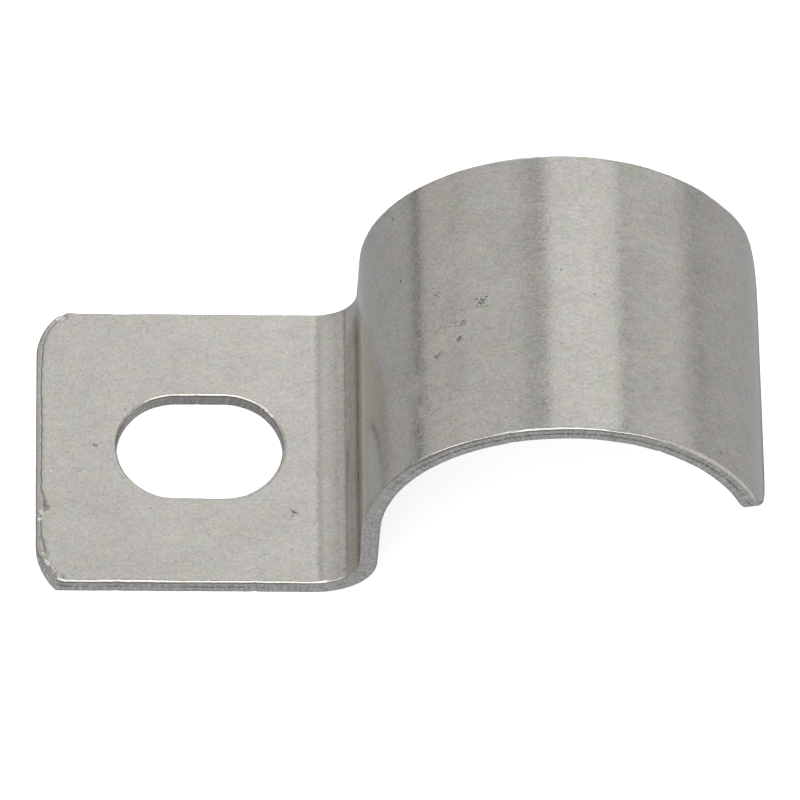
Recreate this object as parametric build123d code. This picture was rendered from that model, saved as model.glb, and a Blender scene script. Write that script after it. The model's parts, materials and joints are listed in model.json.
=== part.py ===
"""Screw-on cable clip: one strip of stainless sheet, blanked, slotted and folded in one piece.

A flat tab with one long slot lies on the mounting surface. It turns up through a tight bend into a
short upright web, and the web runs over into the round saddle that holds the cable down. The
saddle opens out a little near its free end, which stops short of the mounting surface, and both
its corners and the tab's corners are rounded. The faces that look away from the surface and the
cable have a soft rolled rim from blanking, and the other side has only a slight broken edge.

Millimetres. The origin is the slot's centre on the tab's underside, X runs from the tab's free
edge towards the saddle, Y along the cable, and +Z away from the mounting surface.
"""

import os
from collections import Counter

from build123d import *

# Strip
SHEET = 1.0
BAND_WIDTH = 17.7

# Tab and its slot
TAB_FLAT = 15.8
TAB_CORNER_RADIUS = 2.2
SLOT_LENGTH = 9.5
SLOT_WIDTH = 6.8
SLOT_SETBACK = 9.3

# Bend and web, the radius on the hollow side
BEND_RADIUS = 2.4
BEND_ANGLE = 89.2
WEB_LENGTH = 3.8

# Saddle, radii on the cable's side
SADDLE_RADIUS = 10.0
SADDLE_ANGLE = 125.0
LIP_RADIUS = 11.4
LIP_ANGLE = 47.5
LIP_CORNER_RADIUS = 3.6

# Rims left by blanking and tumbling
ROLLED_RIM = 0.12
BROKEN_EDGE = 0.03

NODE = "saddle_clip"


def side_line(height):
    """The sheet's run in side view, at a height above its underside: five tangent stretches."""
    bend_start = TAB_FLAT - SLOT_SETBACK
    tab = Line((-SLOT_SETBACK, height), (bend_start, height))
    bend = JernArc(tab @ 1, tab % 1, BEND_RADIUS + SHEET - height, BEND_ANGLE)
    web = Line(bend @ 1, bend @ 1 + (bend % 1) * WEB_LENGTH)
    saddle = JernArc(web @ 1, web % 1, SADDLE_RADIUS + height, -SADDLE_ANGLE)
    lip = JernArc(saddle @ 1, saddle % 1, LIP_RADIUS + height, -LIP_ANGLE)
    return [tab, bend, web, saddle, lip]


def folded_strip():
    """The whole strip at its full width, before any corner is rounded."""
    under = side_line(0)
    upper = side_line(SHEET)
    tab_end = Line(under[0] @ 0, upper[0] @ 0)
    lip_end = Line(under[-1] @ 1, upper[-1] @ 1)
    section = make_face(under + [lip_end] + upper + [tab_end])
    return extrude(Plane.XZ * section, amount=BAND_WIDTH / 2, both=True)


def in_space(point, across=0.0):
    """A point of the side view, set at a distance across the strip."""
    return Vector(point.X, across, point.Y)


def nearest_face(part, point):
    return part.faces().sort_by_distance(point)[0]


def end_corners(part, line_end):
    """The two short edges where an end of the strip meets its sides."""
    end_face = nearest_face(part, in_space(line_end))
    return [
        edge
        for edge in end_face.edges()
        if abs(abs(edge.center().Y) - BAND_WIDTH / 2) < SHEET / 10
    ]


def rim_of(part, height):
    """The edges round one side of the sheet, and round the slot in it."""
    beside_slot = (BAND_WIDTH + SLOT_WIDTH) / 4
    skin = [nearest_face(part, in_space(run @ 0.5, beside_slot)) for run in side_line(height)]
    uses = Counter(edge for face in skin for edge in face.edges())
    return [edge for edge, count in uses.items() if count == 1]


def cable_clip():
    middle = side_line(SHEET / 2)
    clip = folded_strip()
    clip = fillet(end_corners(clip, middle[0] @ 0), TAB_CORNER_RADIUS)
    clip = fillet(end_corners(clip, middle[-1] @ 1), LIP_CORNER_RADIUS)
    clip -= extrude(SlotOverall(SLOT_LENGTH, SLOT_WIDTH), amount=SHEET)
    clip = fillet(rim_of(clip, SHEET), ROLLED_RIM)
    return chamfer(rim_of(clip, 0), BROKEN_EDGE)


os.makedirs("parts", exist_ok=True)
clip = cable_clip()
clip.label = NODE
export_step(clip, f"parts/{NODE}.step")
print(NODE, "volume", round(clip.volume, 1), "mm3", "box", clip.bounding_box().size)
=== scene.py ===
"""The screw-on cable clip, dressed for its picture.

The folded strip is made again as one closed mesh, finer than the CAD one. It is laid out flat,
given a rolled rim, a sheared edge and knocks, and then folded along the same stretches as the CAD
part. Grain, pits and scratches are in its materials. Lengths are millimetres until the mesh is
made. The UV map holds millimetres too: along and across the flat strip on its skins, and along and
up the cut edge on its edges.
"""

import json
import math

import bpy
import numpy as np
from mathutils import Matrix, Vector, noise
from mathutils.geometry import delaunay_2d_cdt

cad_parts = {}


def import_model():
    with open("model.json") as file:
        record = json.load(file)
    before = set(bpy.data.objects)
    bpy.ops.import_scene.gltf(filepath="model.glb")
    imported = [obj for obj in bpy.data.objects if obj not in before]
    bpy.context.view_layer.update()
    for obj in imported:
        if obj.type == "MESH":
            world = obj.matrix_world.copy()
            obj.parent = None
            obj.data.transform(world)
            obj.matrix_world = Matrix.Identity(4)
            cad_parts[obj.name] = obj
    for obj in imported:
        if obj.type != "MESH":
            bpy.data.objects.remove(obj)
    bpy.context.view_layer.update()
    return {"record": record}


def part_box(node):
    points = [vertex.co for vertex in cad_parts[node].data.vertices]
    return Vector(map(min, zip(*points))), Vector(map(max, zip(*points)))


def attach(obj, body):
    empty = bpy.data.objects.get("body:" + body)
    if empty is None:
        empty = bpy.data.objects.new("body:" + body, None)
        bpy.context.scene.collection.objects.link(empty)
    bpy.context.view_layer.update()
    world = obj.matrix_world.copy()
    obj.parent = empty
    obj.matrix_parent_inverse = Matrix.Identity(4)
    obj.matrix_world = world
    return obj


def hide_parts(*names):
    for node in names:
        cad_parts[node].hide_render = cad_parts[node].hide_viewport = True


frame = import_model()

METRES = 0.001
NODE = "saddle_clip"
NODE_LOW, NODE_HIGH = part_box(NODE)
MOUNTS = {mount["name"]: mount["dims"] for mount in frame["record"]["mounts"]}

# Strip, as in the CAD part
SHEET = MOUNTS["fixing_slot"]["length_mm"]
TAB_END = NODE_LOW[0] / METRES
HALF_WIDTH = (NODE_HIGH[1] - NODE_LOW[1]) / METRES / 2
TAB_FLAT = 15.8
TAB_CORNER_RADIUS = 2.2
BEND_RADIUS = 2.4
BEND_TURN = math.radians(89.2)
WEB_LENGTH = 3.8
SADDLE_RADIUS = MOUNTS["cable_saddle"]["r_mm"]
SADDLE_TURN = math.radians(125.0)
LIP_RADIUS = 11.4
LIP_TURN = math.radians(47.5)
LIP_CORNER_RADIUS = 3.6
SLOT_RADIUS = MOUNTS["fixing_slot"]["hole_r_mm"]
SLOT_HALF_RUN = MOUNTS["fixing_slot"]["slot_length_mm"] / 2 - SLOT_RADIUS

# Each stretch of the sheet's middle from the tab's free edge: its length, and how far it turns up
STRETCHES = [
    (TAB_FLAT, 0.0),
    ((BEND_RADIUS + SHEET / 2) * BEND_TURN, BEND_TURN),
    (WEB_LENGTH, 0.0),
    ((SADDLE_RADIUS + SHEET / 2) * SADDLE_TURN, -SADDLE_TURN),
    ((LIP_RADIUS + SHEET / 2) * LIP_TURN, -LIP_TURN),
]
STRIP_LENGTH = sum(length for length, turn in STRETCHES)

# The tab's corners as cropped: the tool's radius, and how far from the side it leaves the free edge
BACK_CROP = (3.5, 2.79)
FRONT_CROP = (4.1, 2.85)
# How much further in the free edge is at the front than at the back
END_SKEW = 0.06

# Edges
ROLLED_RIM = 0.14
ROLL_STEPS = 6
BROKEN_EDGE = 0.03
RUBBED_TOP = 0.75
FRACTURE_HEIGHT = 0.5
FRACTURE_STEP = 0.02
EDGE_SPACING = 0.12
SKIN_SPACING = 0.32
# How far in the skin's triangles begin, and the underside's last row before them
SKIN_MARGIN = 0.95
UNDER_MARGIN = 0.15
SHARP_TURN = math.radians(38)

# Where these begin and where they are full, along the strip: the free edge's marks, and the rolled
# rim's extra width on the tab and over the lip
END_FADE = (1.75, 1.25)
TAB_FADE = (15.0, 13.0)
LIP_FADE = (42.0, 48.0)
# The same for the marks of the tab's front corner, by the distance from its place
CORNER_FADE = (1.5, 0.5)
CORNER_PLACE = (0.5, -8.4)
# The rolled rim's extra width, as a share of its width
TAB_WIDENING = 0.25
LIP_WIDENING = 0.8
CORNER_WIDENING = 0.1
# How far the front corner's cut edge leans in for each millimetre of height
CORNER_LEAN = 0.30
# Brings a smooth noise to between about -1 and 1
WAVER_GAIN = 1.6


# Outline of the flat strip

def straight(start, end, out):
    """Points from start up to end, the end left out, all facing out."""
    start, end = np.array(start), np.array(end)
    count = max(1, round(float(np.linalg.norm(end - start)) / EDGE_SPACING))
    steps = np.arange(count)[:, None] / count
    return start + (end - start) * steps, np.tile(out, (count, 1)).astype(float)


def round_turn(centre, radius, start, turn):
    """Points round an arc, in degrees, the last left out. A clockwise arc faces its centre."""
    count = max(4, round(math.radians(abs(turn)) * radius / EDGE_SPACING))
    angles = np.radians(start + turn * np.arange(count) / count)
    spokes = np.stack([np.cos(angles), np.sin(angles)], axis=1)
    return np.array(centre) + radius * spokes, spokes * math.copysign(1, turn)


def joined(pieces):
    return [np.concatenate(part) for part in zip(*pieces)]


def strip_outline():
    """The strip's outer edge, anticlockwise, and the way out at each point.

    The tab's corners were cropped by a wider tool, so they meet the sides at an angle.
    """
    lip = LIP_CORNER_RADIUS
    side = HALF_WIDTH
    end = STRIP_LENGTH
    back, back_start = BACK_CROP
    front, front_start = FRONT_CROP
    back_swept = math.asin(back_start / back)
    front_swept = math.asin(front_start / front)
    back_met = back - back * math.cos(back_swept)
    front_met = END_SKEW + front - front * math.cos(front_swept)
    back_turn, front_turn = math.degrees(back_swept), math.degrees(front_swept)
    return joined([
        straight((front_met, -side), (end - lip, -side), (0, -1)),
        round_turn((end - lip, lip - side), lip, -90, 90),
        straight((end, lip - side), (end, side - lip), (1, 0)),
        round_turn((end - lip, side - lip), lip, 0, 90),
        straight((end - lip, side), (back_met, side), (0, 1)),
        round_turn((back, side - back_start), back, 180 - back_turn, back_turn),
        straight((0, side - back_start), (END_SKEW, front_start - side), (-1, 0)),
        round_turn((END_SKEW + front, front_start - side), front, 180, front_turn),
    ])


def slot_outline():
    """The slot's edge, clockwise, and the way into the slot at each point."""
    left, right = -TAB_END - SLOT_HALF_RUN, -TAB_END + SLOT_HALF_RUN
    return joined([
        straight((left, SLOT_RADIUS), (right, SLOT_RADIUS), (0, -1)),
        round_turn((right, 0), SLOT_RADIUS, 90, -180),
        straight((right, -SLOT_RADIUS), (left, -SLOT_RADIUS), (0, 1)),
        round_turn((left, 0), SLOT_RADIUS, -90, -180),
    ])


def depth_inside(run, across):
    """How far a place of the flat strip lies inside the nearest edge, if the tab's corners are round."""
    corner = np.where(run < STRIP_LENGTH / 2, TAB_CORNER_RADIUS, LIP_CORNER_RADIUS)
    along = np.abs(run - STRIP_LENGTH / 2) - (STRIP_LENGTH / 2 - corner)
    aside = np.abs(across) - (HALF_WIDTH - corner)
    outside = np.hypot(np.maximum(along, 0), np.maximum(aside, 0))
    from_edge = corner - outside - np.minimum(np.maximum(along, aside), 0)
    past_slot = np.maximum(np.abs(run + TAB_END) - SLOT_HALF_RUN, 0)
    from_slot = np.hypot(past_slot, across) - SLOT_RADIUS
    return np.minimum(from_edge, from_slot)


def between_loops(places, loops):
    """Whether each place lies inside an odd number of the loops."""
    run, across = places.T
    inside = np.zeros(len(places), dtype=bool)
    for loop in loops:
        for (run_0, across_0), (run_1, across_1) in zip(loop, np.roll(loop, -1, axis=0)):
            if across_0 != across_1:
                crossing = run_0 + (across - across_0) * (run_1 - run_0) / (across_1 - across_0)
                inside ^= ((across_0 > across) != (across_1 > across)) & (run < crossing)
    return inside


def waver(places, size, seed):
    """Smooth unevenness between about -1 and 1 at places of the flat strip, of about that size."""
    return np.array([noise.noise(Vector((u / size, v / size, seed))) for u, v in places]) * WAVER_GAIN


def spread(ways):
    """The ways out, evened over a few neighbours so that rows inside a corner don't cross."""
    reach = range(-4, 5)
    even = sum(np.roll(ways, step, axis=0) for step in reach)
    return even / np.linalg.norm(even, axis=1)[:, None]


# The cropped end has a ledge beside its rim: across the strip, and how wide the ledge is there
LEDGE_ACROSS = [-8.9, -7.5, -6.9, -6.2, -5.9, -4.45, -4.25, -4.05, -3.4, -2.7, 1.5, 4.0, 6.0, 8.9]
LEDGE_WIDTH = [0.12, 0.14, 0.26, 0.22, 0.10, 0.10, 0.16, 0.46, 0.26, 0.10, 0.13, 0.09, 0.13, 0.12]
# Its width where it has run out, how deep it is set, and how wide the slope down to it is
LEDGE_LEAST = 0.10
LEDGE_STEP = 0.07
LEDGE_SLOPE = 0.06

# How strong the painted dark line at the foot of the rim is along the strip: painted shade standing in
# for the dark reflection under the rolled rim's highlight
FOOT_SHADE_RUN = [0.0, 14.5, 16.5, 26.0, 29.0, 42.0, 46.0]
FOOT_SHADE_SHARE = [0.9, 1.0, 0.0, 0.0, 1.0, 0.9, 0.1]

# How far blanking spread the metal out at the back edges, and into the slot at the slot's ends: in the
# slot it is twice as much in front, and none behind
BACK_SPREAD = 0.055
SLOT_SPREAD = 0.03
# The slot's edge has its UV places this far on, so that its material can tell
SLOT_WALK = 200.0

# Knocks in the edges: where along and across the strip, how far they reach, and how deep they go in,
# or how far out if below zero
KNOCKS = [
    (1.42, 8.85, 0.15, 0.13),
    (1.85, 8.85, 0.35, -0.05),
    (0.00, -4.30, 0.15, 0.05),
    (9.15, 3.40, 0.12, 0.03),
    (9.60, -3.40, 0.12, 0.025),
    (11.9, -3.10, 0.20, 0.04),
    (7.10, -3.05, 0.25, 0.03),
    (4.60, -8.85, 0.20, 0.03),
    (12.4, -8.85, 0.15, 0.03),
    (37.2, -8.85, 0.20, 0.03),
    (46.0, -8.85, 0.18, 0.03),
]


def knocked(points):
    """How far the knocks push an edge out at each of its points."""
    push = np.zeros(len(points))
    for run, across, reach, depth in KNOCKS:
        away = np.hypot(points[:, 0] - run, points[:, 1] - across)
        push -= depth * np.exp(-(away / reach) ** 2)
    return push


# Groups of corroded pits: where along and across the strip, and how wide. They are placed for the
# upper side, and the underside has them too
PITTED = [
    (35.85, -0.05, 1.60),
    (34.80, -1.10, 1.10),
    (34.55, -2.00, 1.20),
    (33.20, 1.20, 1.00),
    (33.10, -2.60, 0.80),
    (14.60, -4.30, 0.90),
    (5.40, 1.70, 0.60),
    (3.40, 0.10, 0.55),
    (29.90, 7.90, 0.35),
    (30.45, 3.45, 0.45),
    (31.90, -7.90, 0.60),
    (49.70, -8.00, 0.60),
]
# Wider places with a sprinkling of them
SPRINKLED = [
    (34.0, -0.6, 5.5),
    (33.0, 3.5, 3.0),
    (32.5, -5.5, 3.5),
]
# Bruises at the cropped end, whose relief tilts them: their white colour is a painted glint
GLINTS = [
    (1.22, 8.55, 0.26),
    (0.42, -4.35, 0.22),
    (0.28, -4.75, 0.16),
]
# Rough scuffed patches, bright and dark
SCUFFED = [
    (31.2, -3.9, 1.3),
    (32.2, -5.8, 0.8),
    (51.0, -8.3, 0.8),
]
# Paler bands beside the bend. They aren't marks on the sheet, but make up for the room, whose
# reflections are too dark there: where along the strip, how far to each side, and how much paler
PALER_BANDS = [
    (16.30, 0.8, 0.13),
    (20.60, 0.7, 0.32),
]
# Where along the strip a thin dotted light line crosses the web's foot
DOTTED_LIGHT_LINE = 20.15

# Colours
SKIN_COLOUR = (0.625, 0.602, 0.562, 1)
PIT_COLOUR = (0.15, 0.14, 0.125, 1)
SPECK_COLOUR = (0.97, 0.96, 0.94, 1)
# The colour of grime and of painted shade: the dark line at the rim's foot is painted shade
GRIME_AND_SHADE_COLOUR = (0.12, 0.115, 0.11, 1)
GLINT_COLOUR = (1, 1, 1, 1)
EDGE_COLOUR = (0.66, 0.645, 0.615, 1)
# Also the colour of the painted dark line under the rolled rim, on the cut edge
FRACTURE_AND_SHADE_COLOUR = (0.11, 0.106, 0.10, 1)
FLOOR_COLOUR = (0.9, 0.9, 0.9, 1)
# Painted shade: the slot's wall is this much darker than the other edges, for the shade inside the slot
SLOT_SHADE = 0.72
# Where a noise mostly stays, of its range from 0 to 1
NOISE_SPAN = (0.3, 0.7)
# Where the fracture line shows more or less along the edge: from, to, and the change at both. Past
# the last place are the front corner and the slot
LINE_CHANGES = [
    (11.0, 17.0, -0.07, -0.26),
    (22.0, 34.0, 0.0, 0.36),
    (138.0, 141.0, 0.0, -0.30),
]


# Folding

def fold(run, across, height):
    """Places of the flat strip, at a height above its underside, where they lie once folded."""
    x = np.full(len(run), TAB_END)
    z = np.full(len(run), SHEET / 2)
    heading = np.zeros(len(run))
    begin, facing = 0.0, 0.0
    for length, turn in STRETCHES:
        along = np.clip(run - begin, 0, length)
        if turn:
            radius = length / turn
            x += radius * (np.sin(facing + along / radius) - math.sin(facing))
            z += radius * (math.cos(facing) - np.cos(facing + along / radius))
        else:
            x += along * math.cos(facing)
            z += along * math.sin(facing)
        heading += along / length * turn
        begin += length
        facing += turn
    lift = height - SHEET / 2
    return np.stack([x - np.sin(heading) * lift, across, z + np.cos(heading) * lift], axis=1)


class Strip:
    """The mesh of the strip as it grows: flat places, faces, and each face's UV places."""

    def __init__(self):
        self.places = []
        self.faces = []
        self.uvs = []
        self.sheared = []
        self.grime_and_shade = []

    def add_row(self, points, height, grime_and_shade=0.0):
        """Adds a row of points and returns their numbers."""
        first = sum(len(places) for places in self.places)
        self.places.append(np.column_stack([points, np.broadcast_to(height, len(points))]))
        self.grime_and_shade.append(np.broadcast_to(grime_and_shade, len(points)))
        return np.arange(first, first + len(points))

    def add_face(self, corners, uvs, sheared=False):
        self.faces.append([int(corner) for corner in corners])
        self.uvs.extend(uvs)
        self.sheared.append(sheared)


def fade(value, nothing, full):
    """0 where the value is at nothing, 1 where it is at full, and evenly between."""
    return np.clip((value - nothing) / (full - nothing), 0, 1)


def edge_rows(points, seed):
    """The rows that wrap an edge, from the upper skin round to the underside.

    Each row has how far in it lies, its height, whether it starts cut metal, and its grime and painted
    shade.
    """
    run, across = points.T
    at_end = fade(run, *END_FADE)
    from_corner = np.hypot(run - CORNER_PLACE[0], across - CORNER_PLACE[1])
    at_corner = at_end * fade(from_corner, *CORNER_FADE)
    at_ledge = at_end * np.clip(1 - 2 * at_corner, 0, 1)
    on_tab = fade(run, *TAB_FADE)
    over_lip = fade(run, *LIP_FADE)
    foot_shade = np.interp(run, FOOT_SHADE_RUN, FOOT_SHADE_SHARE) * (1 - 0.8 * at_corner)
    patchy = np.clip(0.6 + waver(points, 0.7, seed + 8), 0, 1)

    roll = ROLLED_RIM * (1 + 0.22 * waver(points, 2.5, seed) + 0.12 * waver(points, 0.4, seed + 5))
    roll = roll * (1 + LIP_WIDENING * over_lip + TAB_WIDENING * on_tab + CORNER_WIDENING * at_corner)
    ledge = np.interp(across, LEDGE_ACROSS, LEDGE_WIDTH) * (1 + 0.2 * waver(points, 0.5, seed + 6))
    ledge = LEDGE_LEAST + (ledge - LEDGE_LEAST) * at_ledge
    slope = LEDGE_SLOPE * (1 + 3 * fade(ledge, 0.15, 0.55))
    step = LEDGE_STEP * at_ledge * (0.6 + ledge * 3)

    fracture = FRACTURE_HEIGHT + 0.07 * waver(points, 0.9, seed + 1)
    drop = FRACTURE_STEP * (1 + 0.6 * waver(points, 0.5, seed + 2))
    torn = FRACTURE_STEP * (0.8 + waver(points, 0.35, seed + 3))

    rows = [
        (roll + ledge + 0.25, SHEET, False, 0.0),
        # Grime and painted shade darken the ledge and its step at the cropped end
        (roll + ledge + slope, SHEET, False, 0.3 * at_ledge),
        (roll + ledge, SHEET - step, False, at_ledge * (0.5 + 0.5 * patchy)),
        (roll + 0.6 * ledge, SHEET - step, False, 0.0),
    ]
    for number in range(ROLL_STEPS + 1):
        angle = math.radians(90) * number / ROLL_STEPS
        height = SHEET - step - roll * (1 - math.cos(angle))
        cut = number >= ROLL_STEPS - 2
        # Painted shade: a dark line at the foot of the rim, standing in for the dark reflection under its
        # highlight. At the cropped end the lower half of the rim is darker too
        foot = foot_shade * (0.65 + 0.35 * patchy) * (number in (ROLL_STEPS - 2, ROLL_STEPS - 1))
        darkened = 0.5 * at_end * (1 - at_corner) * (number >= ROLL_STEPS // 2) + foot
        rows.append((roll * (1 - math.sin(angle)), height, cut, np.minimum(darkened, 1)))
    rows += [
        (0.0, RUBBED_TOP, True, 0.0),
        (0.0, fracture + 0.07, True, 0.0),
        (0.2 * drop, fracture + 0.02, True, 0.0),
        (drop, fracture - 0.03, True, 0.0),
        (torn, fracture * 0.7, True, 0.0),
        (0.7 * torn, fracture * 0.4, True, 0.0),
        # Darker towards the broken bottom edge
        (0.0, BROKEN_EDGE * 2.5, True, 0.3),
        (0.0, BROKEN_EDGE, True, 0.6),
        (BROKEN_EDGE, 0.0, False, 0.3),
        (UNDER_MARGIN, 0.0, False, 0.0),
    ]
    lean = CORNER_LEAN * at_corner
    leaning = [(inset + lean * height, height, sheared, darkened) for inset, height, sheared, darkened in rows]
    return [(SKIN_MARGIN, SHEET, False, 0.0)] + leaning + [(SKIN_MARGIN, 0.0, False, 0.0)]


def wrap_edge(strip, points, out, seed, slot=False):
    """Adds the whole wrapped edge of one outline. Returns its first and last rows."""
    out = spread(out)
    push = 0.012 * waver(points, 1.6, seed + 4) + 0.006 * waver(points, 0.3, seed + 7) + knocked(points)
    push += BACK_SPREAD * np.maximum(out[:, 1], 0)
    if slot:
        push += SLOT_SPREAD * (1 + out[:, 1])
    steps = np.linalg.norm(np.diff(points, axis=0, append=points[:1]), axis=1)
    walk = np.concatenate([[0.0], np.cumsum(steps)]) + SLOT_WALK * slot
    count = len(points)
    made = []
    for inset, height, sheared, grime_and_shade in edge_rows(points, seed):
        inset = np.broadcast_to(inset, count)
        # The push dies out between 0.2 and 0.7 mm in
        moved = push * np.clip(1.4 - inset / 0.5, 0, 1)
        flat = points - out * (inset - moved)[:, None]
        numbers = strip.add_row(flat, height, grime_and_shade)
        made.append((numbers, flat, np.broadcast_to(height, count), sheared))
    for above, below in zip(made, made[1:]):
        upper, upper_flat, upper_height, sheared = above
        lower, lower_flat, lower_height, _ = below
        for i in range(count):
            j = (i + 1) % count
            if sheared:
                uvs = [(walk[i], upper_height[i]), (walk[i], lower_height[i]),
                       (walk[i + 1], lower_height[j]), (walk[i + 1], upper_height[j])]
            else:
                uvs = [upper_flat[i], lower_flat[i], lower_flat[j], upper_flat[j]]
            strip.add_face([upper[i], lower[i], lower[j], upper[j]], uvs, sheared)
    return made[0][0], made[-1][0]


def skin_triangles(loops):
    """Fills the skin between the loops' points. Returns the inner points and the triangles."""
    steps_along = np.arange(SKIN_MARGIN, STRIP_LENGTH, SKIN_SPACING)
    steps_across = np.arange(SKIN_MARGIN - HALF_WIDTH, HALF_WIDTH, SKIN_SPACING)
    run, across = (axis.ravel() for axis in np.meshgrid(steps_along, steps_across, indexing="ij"))
    clear = depth_inside(run, across) > SKIN_MARGIN + SKIN_SPACING / 2
    inner = np.stack([run[clear], across[clear]], axis=1)
    border = np.concatenate(loops)
    edges = []
    first = 0
    for loop in loops:
        edges += [(first + i, first + (i + 1) % len(loop)) for i in range(len(loop))]
        first += len(loop)
    everything = np.concatenate([border, inner])
    out = delaunay_2d_cdt([Vector(p) for p in everything], edges, [], 2, 1e-6)
    came_from = [group[0] for group in out[3]]
    triangles = [[came_from[corner] for corner in face] for face in out[2]]
    centres = everything[np.array(triangles)].mean(axis=1)
    solid = between_loops(centres, loops)
    return inner, [triangle for triangle, keep in zip(triangles, solid) if keep]


def strip_mesh():
    strip = Strip()
    outline, outline_out = strip_outline()
    slot, slot_out = slot_outline()
    outer = wrap_edge(strip, outline, outline_out, seed=1.0)
    inner = wrap_edge(strip, slot, slot_out, seed=11.0, slot=True)
    places = np.concatenate(strip.places)
    loops = [places[outer[0], :2], places[inner[0], :2]]
    filling, triangles = skin_triangles(loops)
    for side, (height, turned) in enumerate([(SHEET, False), (0.0, True)]):
        numbers = np.concatenate([outer[side], inner[side], strip.add_row(filling, height)])
        flat = np.concatenate(loops + [filling])
        for triangle in triangles:
            order = triangle[::-1] if turned else triangle
            strip.add_face(numbers[order], flat[order])
    return strip


def clip_object():
    strip = strip_mesh()
    places = np.concatenate(strip.places)
    folded = fold(places[:, 0], places[:, 1], places[:, 2]) * METRES
    mesh = bpy.data.meshes.new("cable_clip")
    mesh.from_pydata(folded.tolist(), [], strip.faces)
    uv_map = mesh.uv_layers.new(name="strip_mm")
    uv_map.uv.foreach_set("vector", np.array(strip.uvs, dtype=np.float32).ravel())
    grime_and_shade = mesh.attributes.new("grime_and_shade", "FLOAT", "POINT")
    grime_and_shade.data.foreach_set("value", np.concatenate(strip.grime_and_shade).astype(np.float32))
    mesh.polygons.foreach_set("material_index", np.array(strip.sheared, dtype=np.int32))
    mesh.polygons.foreach_set("use_smooth", np.ones(len(strip.faces), dtype=bool))
    mesh.set_sharp_from_angle(angle=SHARP_TURN)
    mesh.validate()
    clip = bpy.data.objects.new("cable_clip", mesh)
    bpy.context.scene.collection.objects.link(clip)
    return clip


# Materials

class Nodes:
    """Short calls that build the nodes of one material, or of the room."""

    def __init__(self, owner, shader):
        owner.use_nodes = True
        self.tree = owner.node_tree
        self.shader = self.tree.nodes[shader]

    def add(self, kind, inputs=None, **settings):
        made = self.tree.nodes.new("ShaderNode" + kind)
        for name, value in settings.items():
            setattr(made, name, value)
        for name, value in (inputs or {}).items():
            self.put(made.inputs[name], value)
        return made

    def put(self, socket, value):
        if isinstance(value, bpy.types.NodeSocket):
            self.tree.links.new(value, socket)
        else:
            socket.default_value = value

    def set(self, name, value):
        self.put(self.shader.inputs[name], value)

    def math(self, operation, *values):
        made = self.add("Math", operation=operation)
        for socket, value in zip(made.inputs, values):
            self.put(socket, value)
        return made.outputs[0]

    def strip_place(self):
        return self.add("UVMap", uv_map="strip_mm").outputs["UV"]

    def stretched(self, along, across, shift=0.0, turn=0.0):
        """The strip's places, drawn out so that a noise's features lie along or across it."""
        return self.add("Mapping", {
            "Vector": self.strip_place(),
            "Location": (shift, shift, 0.0),
            "Rotation": (0.0, 0.0, math.radians(turn)),
            "Scale": (1 / along, 1 / across, 1.0),
        }, vector_type="TEXTURE").outputs[0]

    def noise(self, where, detail=2.0, roughness=0.5):
        """Noise from 0 to 1, one feature to each unit of where."""
        inputs = {"Vector": where, "Scale": 1.0, "Detail": detail, "Roughness": roughness}
        return self.add("TexNoise", inputs).outputs["Fac"]

    def between(self, value, low, high, to_low=0.0, to_high=1.0):
        """Runs from to_low to to_high while value goes from low to high, and stays there beyond them."""
        inputs = {"Value": value, "From Min": low, "From Max": high, "To Min": to_low, "To Max": to_high}
        return self.add("MapRange", inputs).outputs["Result"]

    def swing(self, noise, low, high):
        return self.between(noise, *NOISE_SPAN, low, high)

    def away(self, value, middle):
        return self.math("ABSOLUTE", self.math("SUBTRACT", value, middle))

    def blend(self, share, first, second, kind="MIX"):
        made = self.add("Mix", data_type="RGBA", blend_type=kind)
        self.put(made.inputs[0], share)
        self.put(made.inputs[6], first)
        self.put(made.inputs[7], second)
        return made.outputs[2]

    def toned(self, colour, shade):
        grey = self.add("CombineColor", {"Red": shade, "Green": shade, "Blue": shade}).outputs[0]
        return self.blend(1.0, colour, grey, "MULTIPLY")

    def spots(self, cell, share, radius, shift):
        """Sparse round spots: one in some cells of that size in millimetres, 1 at their middle."""
        where = self.stretched(1 / cell, 1 / cell, shift)
        inputs = {"Vector": where, "Scale": 1.0, "Randomness": 1.0}
        cells = self.add("TexVoronoi", inputs, voronoi_dimensions="2D").outputs
        near = self.between(cells["Distance"], radius / cell, 0.0)
        drawn = self.add("SeparateColor", {"Color": cells["Color"]}).outputs[0]
        return self.math("MULTIPLY", near, self.math("LESS_THAN", drawn, share))

    def near(self, marks, ragged):
        """1 at the middle of any of the marks, 0 beyond their size, with an edge that a noise frays."""
        share = 0.0
        for run, across, size in marks:
            inputs = {0: self.strip_place(), 1: (run, across, 0.0)}
            away = self.add("VectorMath", inputs, operation="DISTANCE").outputs["Value"]
            frayed = self.math("MULTIPLY", away, self.swing(ragged, 0.45, 1.9))
            share = self.math("MAXIMUM", share, self.between(frayed, size, 0.1 * size))
        return share

    def grime_and_shade(self, broken, strength):
        """The grime and painted shade the mesh carries in its edges, broken up by a noise."""
        darkened = self.add("Attribute", attribute_name="grime_and_shade").outputs["Fac"]
        patchy = self.math("MULTIPLY", darkened, self.between(broken, 0.3, 0.6, 0.4, 1.0))
        return self.math("MULTIPLY", patchy, strength)

    def bump(self, height, depth, normal=None):
        """Height from 0 to 1, that many millimetres deep."""
        inputs = {"Height": height, "Distance": depth * METRES, "Strength": 1.0}
        if normal:
            inputs["Normal"] = normal
        return self.add("Bump", inputs).outputs["Normal"]


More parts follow.
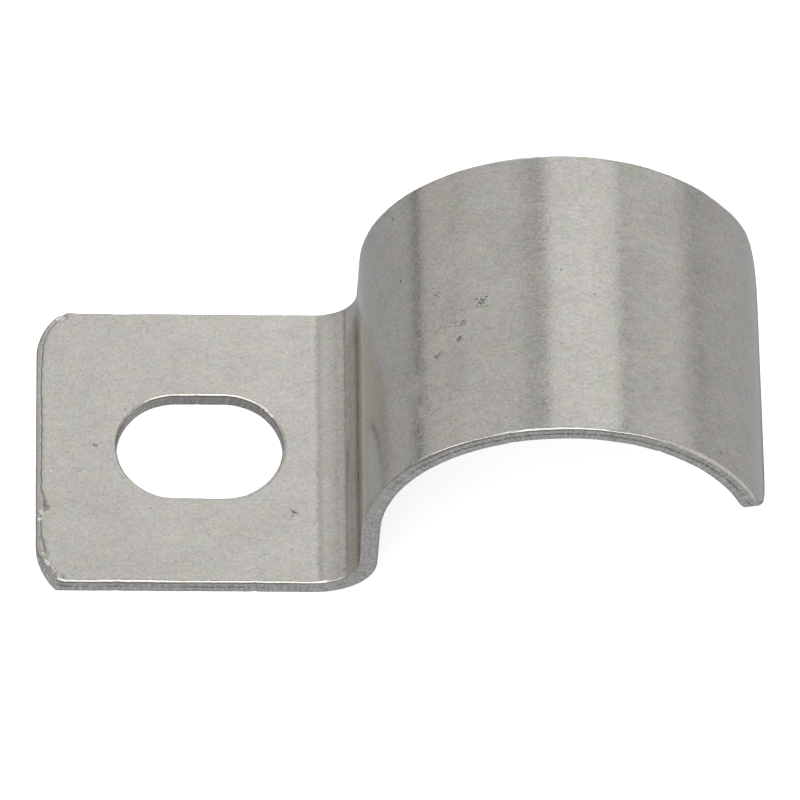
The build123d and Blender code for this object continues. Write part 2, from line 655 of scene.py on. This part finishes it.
def stainless_skin():
    """Dull tumbled sheet: grain, faint colour patches, pits, hair scratches and bright specks."""
    skin = bpy.data.materials.new("stainless_skin")
    made = Nodes(skin, "Principled BSDF")
    grain = made.noise(made.stretched(5.0, 6.5), detail=2.0, roughness=0.6)
    mottle = made.noise(made.stretched(1.6, 2.4, 5.0), detail=3.0)
    patches = made.noise(made.stretched(0.3, 0.45, 9.0), detail=2.0)
    waves = made.noise(made.stretched(0.5, 0.35, 3.0), detail=1.0)
    ragged = made.noise(made.stretched(5.5, 7.0, 21.0), detail=3.0, roughness=0.65)
    tints = made.add("TexNoise", {"Vector": made.stretched(0.7, 0.9, 14.0), "Scale": 1.0, "Detail": 3.0})
    place = made.add("SeparateXYZ", {"Vector": made.strip_place()}).outputs

    # Marks
    pits = made.math("MAXIMUM", made.spots(1.6, 0.20, 0.07, 1.7), made.spots(0.7, 0.22, 0.04, 4.1))
    grouped = made.between(made.near(PITTED, mottle), 0.0, 1.0, -0.5, 0.10)
    sprinkled = made.between(made.near(SPRINKLED, mottle), 0.0, 1.0, -0.5, -0.03)
    in_group = made.math("ADD", ragged, made.math("MAXIMUM", grouped, sprinkled))
    dark = made.math("MAXIMUM", pits, made.between(in_group, 0.54, 0.62))
    rough_marks = made.between(ragged, 0.40, 0.62, -1.0, 1.0)
    scuffs = made.math("MULTIPLY", made.near(SCUFFED, mottle), rough_marks)
    specks = made.math("MULTIPLY", made.spots(2.2, 0.30, 0.055, 7.3), 0.8)
    glints = made.near(GLINTS, mottle)
    hair = made.noise(made.stretched(0.35, 9.0, 31.0, turn=24.0), detail=1.0)
    other_hair = made.noise(made.stretched(0.4, 10.0, 47.0, turn=-63.0), detail=1.0)
    scratches = made.math("MAXIMUM", made.between(hair, 0.70, 0.76), made.between(other_hair, 0.71, 0.76))
    # A thin dotted light line across the web's foot
    from_line = made.between(made.away(place["X"], DOTTED_LIGHT_LINE), 0.14, 0.05)
    dotted_light = made.math("MULTIPLY", from_line, made.between(ragged, 0.50, 0.60, 0.0, 0.5))

    # Tone
    shade = made.math("ADD", made.swing(grain, 0.85, 1.13), made.swing(mottle, -0.07, 0.07))
    shade = made.math("ADD", shade, made.swing(patches, -0.045, 0.045))
    shade = made.math("SUBTRACT", shade, made.math("MULTIPLY", scratches, 0.05))
    shade = made.math("MULTIPLY_ADD", scuffs, 0.10, shade)
    towards_back = made.between(place["Y"], -8.0, 8.0, -0.02, 0.035)
    on_tab = made.between(place["X"], 17.0, 14.0)
    shade = made.math("ADD", shade, made.math("MULTIPLY", towards_back, on_tab))
    for run, reach, paler in PALER_BANDS:
        away = made.away(place["X"], run)
        shade = made.math("ADD", shade, made.between(away, reach, 0.2 * reach, 0.0, paler))

    # Colour
    colour = made.toned(SKIN_COLOUR, shade)
    colour = made.blend(0.13, colour, made.blend(1.0, colour, tints.outputs["Color"], "MULTIPLY"))
    colour = made.blend(made.math("MULTIPLY", dark, 0.8), colour, PIT_COLOUR)
    colour = made.blend(made.math("MAXIMUM", specks, dotted_light), colour, SPECK_COLOUR)
    # Grime and painted shade from the mesh: the dark line at the rim's foot is painted shade
    colour = made.blend(made.grime_and_shade(ragged, 0.85), colour, GRIME_AND_SHADE_COLOUR)
    # Painted glint: the bruises are white
    made.set("Base Color", made.blend(glints, colour, GLINT_COLOUR))
    made.set("Metallic", 1.0)
    rough = made.between(made.math("ADD", grain, mottle), 0.7, 1.3, 0.12, 0.20)
    made.set("Roughness", made.math("ADD", rough, made.math("MULTIPLY", dark, 0.3)))

    # Relief
    relief = made.math("MULTIPLY_ADD", scuffs, 0.9, grain)
    relief = made.math("SUBTRACT", relief, made.math("MULTIPLY", dark, 1.6))
    relief = made.math("SUBTRACT", relief, made.math("MULTIPLY", scratches, 0.2))
    relief = made.math("ADD", relief, made.math("MULTIPLY", glints, made.swing(ragged, -6.0, 6.0)))
    made.set("Normal", made.bump(relief, 0.008, made.bump(waves, 0.006)))
    return skin


def sheared_edge():
    """The cut edge: rubbed smooth above, torn and duller below, with a dark dotted line between."""
    edge = bpy.data.materials.new("sheared_edge")
    made = Nodes(edge, "Principled BSDF")
    place = made.add("SeparateXYZ", {"Vector": made.strip_place()}).outputs
    walk, height = place["X"], place["Y"]
    streaks = made.noise(made.stretched(1.1, 14.0, 2.0), detail=3.0, roughness=0.6)
    grain = made.noise(made.stretched(6.0, 5.0, 6.0), detail=3.0, roughness=0.65)
    uprights = made.noise(made.stretched(8.0, 1.0, 8.0), detail=2.0)
    dots = made.noise(made.stretched(5.5, 9.0, 4.0), detail=2.0)
    stretches = made.noise(made.stretched(0.45, 0.8, 11.0), detail=2.0)
    pits = made.math("MAXIMUM", made.spots(0.55, 0.45, 0.05, 3.3), made.spots(0.3, 0.3, 0.035, 8.1))

    # Fracture line
    reach = made.math("MULTIPLY", made.between(dots, 0.40, 0.56), 0.10)
    from_line = made.math("SUBTRACT", made.away(height, FRACTURE_HEIGHT), reach)
    shown = stretches
    for start, stop, at_start, at_stop in LINE_CHANGES:
        shown = made.math("ADD", shown, made.between(walk, start, stop, at_start, at_stop))
    shown = made.between(shown, 0.38, 0.5, 0.1, 1.0)
    line = made.math("MULTIPLY", made.between(from_line, 0.02, -0.02), shown)
    dark = made.math("MAXIMUM", line, made.math("MULTIPLY", pits, 0.8))
    # Grime and painted shade from the mesh: the dark line under the rolled rim is painted shade
    dark = made.math("MAXIMUM", dark, made.grime_and_shade(dots, 1.0))

    # Tone and colour
    shade = made.math("ADD", made.swing(streaks, 0.84, 1.12), made.swing(grain, -0.26, 0.26))
    shade = made.math("ADD", shade, made.swing(uprights, -0.18, 0.18))
    # Painted shade inside the slot
    in_slot = made.math("GREATER_THAN", walk, SLOT_WALK - 1)
    shade = made.math("MULTIPLY", shade, made.between(in_slot, 0.0, 1.0, 1.0, SLOT_SHADE))
    colour = made.toned(EDGE_COLOUR, shade)
    made.set("Base Color", made.blend(made.math("MULTIPLY", dark, 0.75), colour, FRACTURE_AND_SHADE_COLOUR))
    made.set("Metallic", 1.0)
    made.set("Roughness", made.between(height, FRACTURE_HEIGHT - 0.05, FRACTURE_HEIGHT + 0.1, 0.5, 0.3))

    # Relief
    relief = made.math("ADD", made.math("ADD", streaks, grain), made.math("SUBTRACT", uprights, dark))
    made.set("Normal", made.bump(relief, 0.010))
    return edge


def plain_floor():
    pale = bpy.data.materials.new("plain_floor")
    made = Nodes(pale, "Principled BSDF")
    made.set("Base Color", FLOOR_COLOUR)
    made.set("Roughness", 0.9)
    made.set("Specular IOR Level", 0.1)
    made.set("Emission Color", (1, 1, 1, 1))
    made.set("Emission Strength", FLOOR_GLOW)
    return pale


# Room

FLOOR_HALF = 900.0
# The floor lies this far under the tab, so that the two faces don't fight
FLOOR_DROP = 0.02
FLOOR_GLOW = 0.5
PANEL_DISTANCE = 500.0
PANEL_AIM = (12.0, 0.0, 5.0)

# How bright the room is to the left and the right, by the height looked in: -1 is down, 1 is up
LEFT_SHADES = [
    (-0.7, 0.43),
    (-0.3, 0.50),
    (-0.11, 0.51),
    (-0.05, 0.24),
    (-0.01, 0.24),
    (0.04, 0.60),
    (0.3, 0.63),
    (0.5, 0.54),
]
RIGHT_SHADES = [(-0.7, 0.47), (-0.3, 0.54), (-0.06, 0.52), (0.04, 0.45), (0.15, 0.60), (0.35, 0.54)]
# The dimmer it is beside this, the cooler: how much for red, green and blue
ROOM_DIM = 0.55
ROOM_TINTS = (0.15, 0.0, -0.25)
# A dark patch in front, a window on the right and a dark patch low behind: the colour, and on each
# axis of the way looked in, where the patch starts to show and where it shows in full
ROOM_PATCHES = [
    ((0.24, 0.24, 0.24, 1), [("Y", -0.1, -0.5), ("Z", 0.6, 0.35), ("Z", -0.02, 0.02)]),
    ((0.86, 0.86, 0.86, 1), [("X", 0.5, 0.75), ("Y", 0.15, -0.1)]),
    ((0.10, 0.10, 0.10, 1), [("Z", -0.80, -0.84), ("X", 0.0, 0.06), ("Y", 0.2, 0.4)]),
]


def floor():
    half = FLOOR_HALF * METRES
    mesh = bpy.data.meshes.new("floor")
    corners = [(-half, -half, 0), (half, -half, 0), (half, half, 0), (-half, half, 0)]
    mesh.from_pydata(corners, [], [(0, 1, 2, 3)])
    mesh.transform(Matrix.Translation((0, 0, -FLOOR_DROP * METRES)))
    mesh.materials.append(plain_floor())
    made = bpy.data.objects.new("floor", mesh)
    made.visible_glossy = False
    bpy.context.scene.collection.objects.link(made)


def softbox(name, towards, width, depth, brightness):
    """A panel that looks at the clip. towards is its place as seen from the clip."""
    light = bpy.data.lights.new(name, "AREA")
    light.shape = "RECTANGLE"
    light.size = width * METRES
    light.size_y = depth * METRES
    light.energy = brightness * math.pi * light.size * light.size_y
    made = bpy.data.objects.new(name, light)
    way = Vector(towards).normalized()
    made.location = (Vector(PANEL_AIM) + way * PANEL_DISTANCE) * METRES
    made.rotation_euler = way.to_track_quat("Z", "Y").to_euler()
    made.visible_camera = False
    bpy.context.scene.collection.objects.link(made)


def world():
    """A pale room, shaded by the height looked in, with a few darker and lighter patches."""
    around = bpy.data.worlds.new("room")
    made = Nodes(around, "Background")
    axes = made.add("SeparateXYZ", {"Vector": made.add("TexCoord").outputs["Generated"]}).outputs

    def shades(stops):
        ramp = made.add("ValToRGB", {"Fac": made.between(axes["Z"], -1.0, 1.0)})
        for number, (height, light) in enumerate(stops):
            stop = ramp.color_ramp.elements[number] if number < 2 else ramp.color_ramp.elements.new(1.0)
            stop.position = (height + 1) / 2
            stop.color = [light * (1 + tint * (light - ROOM_DIM)) for tint in ROOM_TINTS] + [1]
        return ramp.outputs["Color"]

    lit = made.blend(made.between(axes["X"], -0.25, 0.25), shades(LEFT_SHADES), shades(RIGHT_SHADES))
    for colour, limits in ROOM_PATCHES:
        share = 1.0
        for axis, start, full in limits:
            share = made.math("MULTIPLY", share, made.between(axes[axis], start, full))
        lit = made.blend(share, lit, colour)
    made.set("Color", lit)
    bpy.context.scene.world = around


def room():
    world()
    bpy.context.scene.view_settings.view_transform = "Standard"
    softbox("front", (0.0, -0.75, 0.66), 900, 260, 1.25)
    softbox("overhead", (0.0, -0.30, 1.0), 420, 300, 1.5)
    softbox("behind", (0.21, 0.517, 0.84), 292, 230, 0.37)
    softbox("left", (-0.547, 0.517, 0.661), 245, 250, 0.13)
    softbox("side", (-0.85, -0.36, 0.40), 200, 220, 1.6)
    softbox("upper_left", (-0.42, 0.08, 0.90), 200, 180, 1.3)
    softbox("low_behind", (0.03, 0.85, 0.52), 400, 190, 0.5)
    softbox("right", (0.72, 0.517, 0.46), 280, 250, 0.14)


# Camera, fitted to the photo's edges
CAMERA_AZIMUTH = math.radians(-3.998)
CAMERA_ELEVATION = math.radians(58.792)
CAMERA_ROLL = math.radians(3.826)
CAMERA_AIM = (11.355, 2.590, 2.045)
CAMERA_DISTANCE = 486.19
CAMERA_LENS = 385.38


def camera():
    back = Vector((
        math.sin(CAMERA_AZIMUTH) * math.cos(CAMERA_ELEVATION),
        -math.cos(CAMERA_AZIMUTH) * math.cos(CAMERA_ELEVATION),
        math.sin(CAMERA_ELEVATION),
    ))
    level = Vector((math.cos(CAMERA_AZIMUTH), math.sin(CAMERA_AZIMUTH), 0))
    right = Matrix.Rotation(CAMERA_ROLL, 3, back) @ level
    up = back.cross(right)
    made = bpy.data.objects.new("camera", bpy.data.cameras.new("camera"))
    made.data.lens = CAMERA_LENS
    made.data.clip_start = 0.01
    made.data.clip_end = 10.0
    place = (Vector(CAMERA_AIM) + back * CAMERA_DISTANCE) * METRES
    turned = Matrix((right, up, back)).transposed().to_4x4()
    made.matrix_world = Matrix.Translation(place) @ turned
    bpy.context.scene.collection.objects.link(made)
    bpy.context.scene.camera = made


clip = clip_object()
clip.data.materials.append(stainless_skin())
clip.data.materials.append(sheared_edge())
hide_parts(NODE)
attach(clip, "root")
floor()
room()
camera()
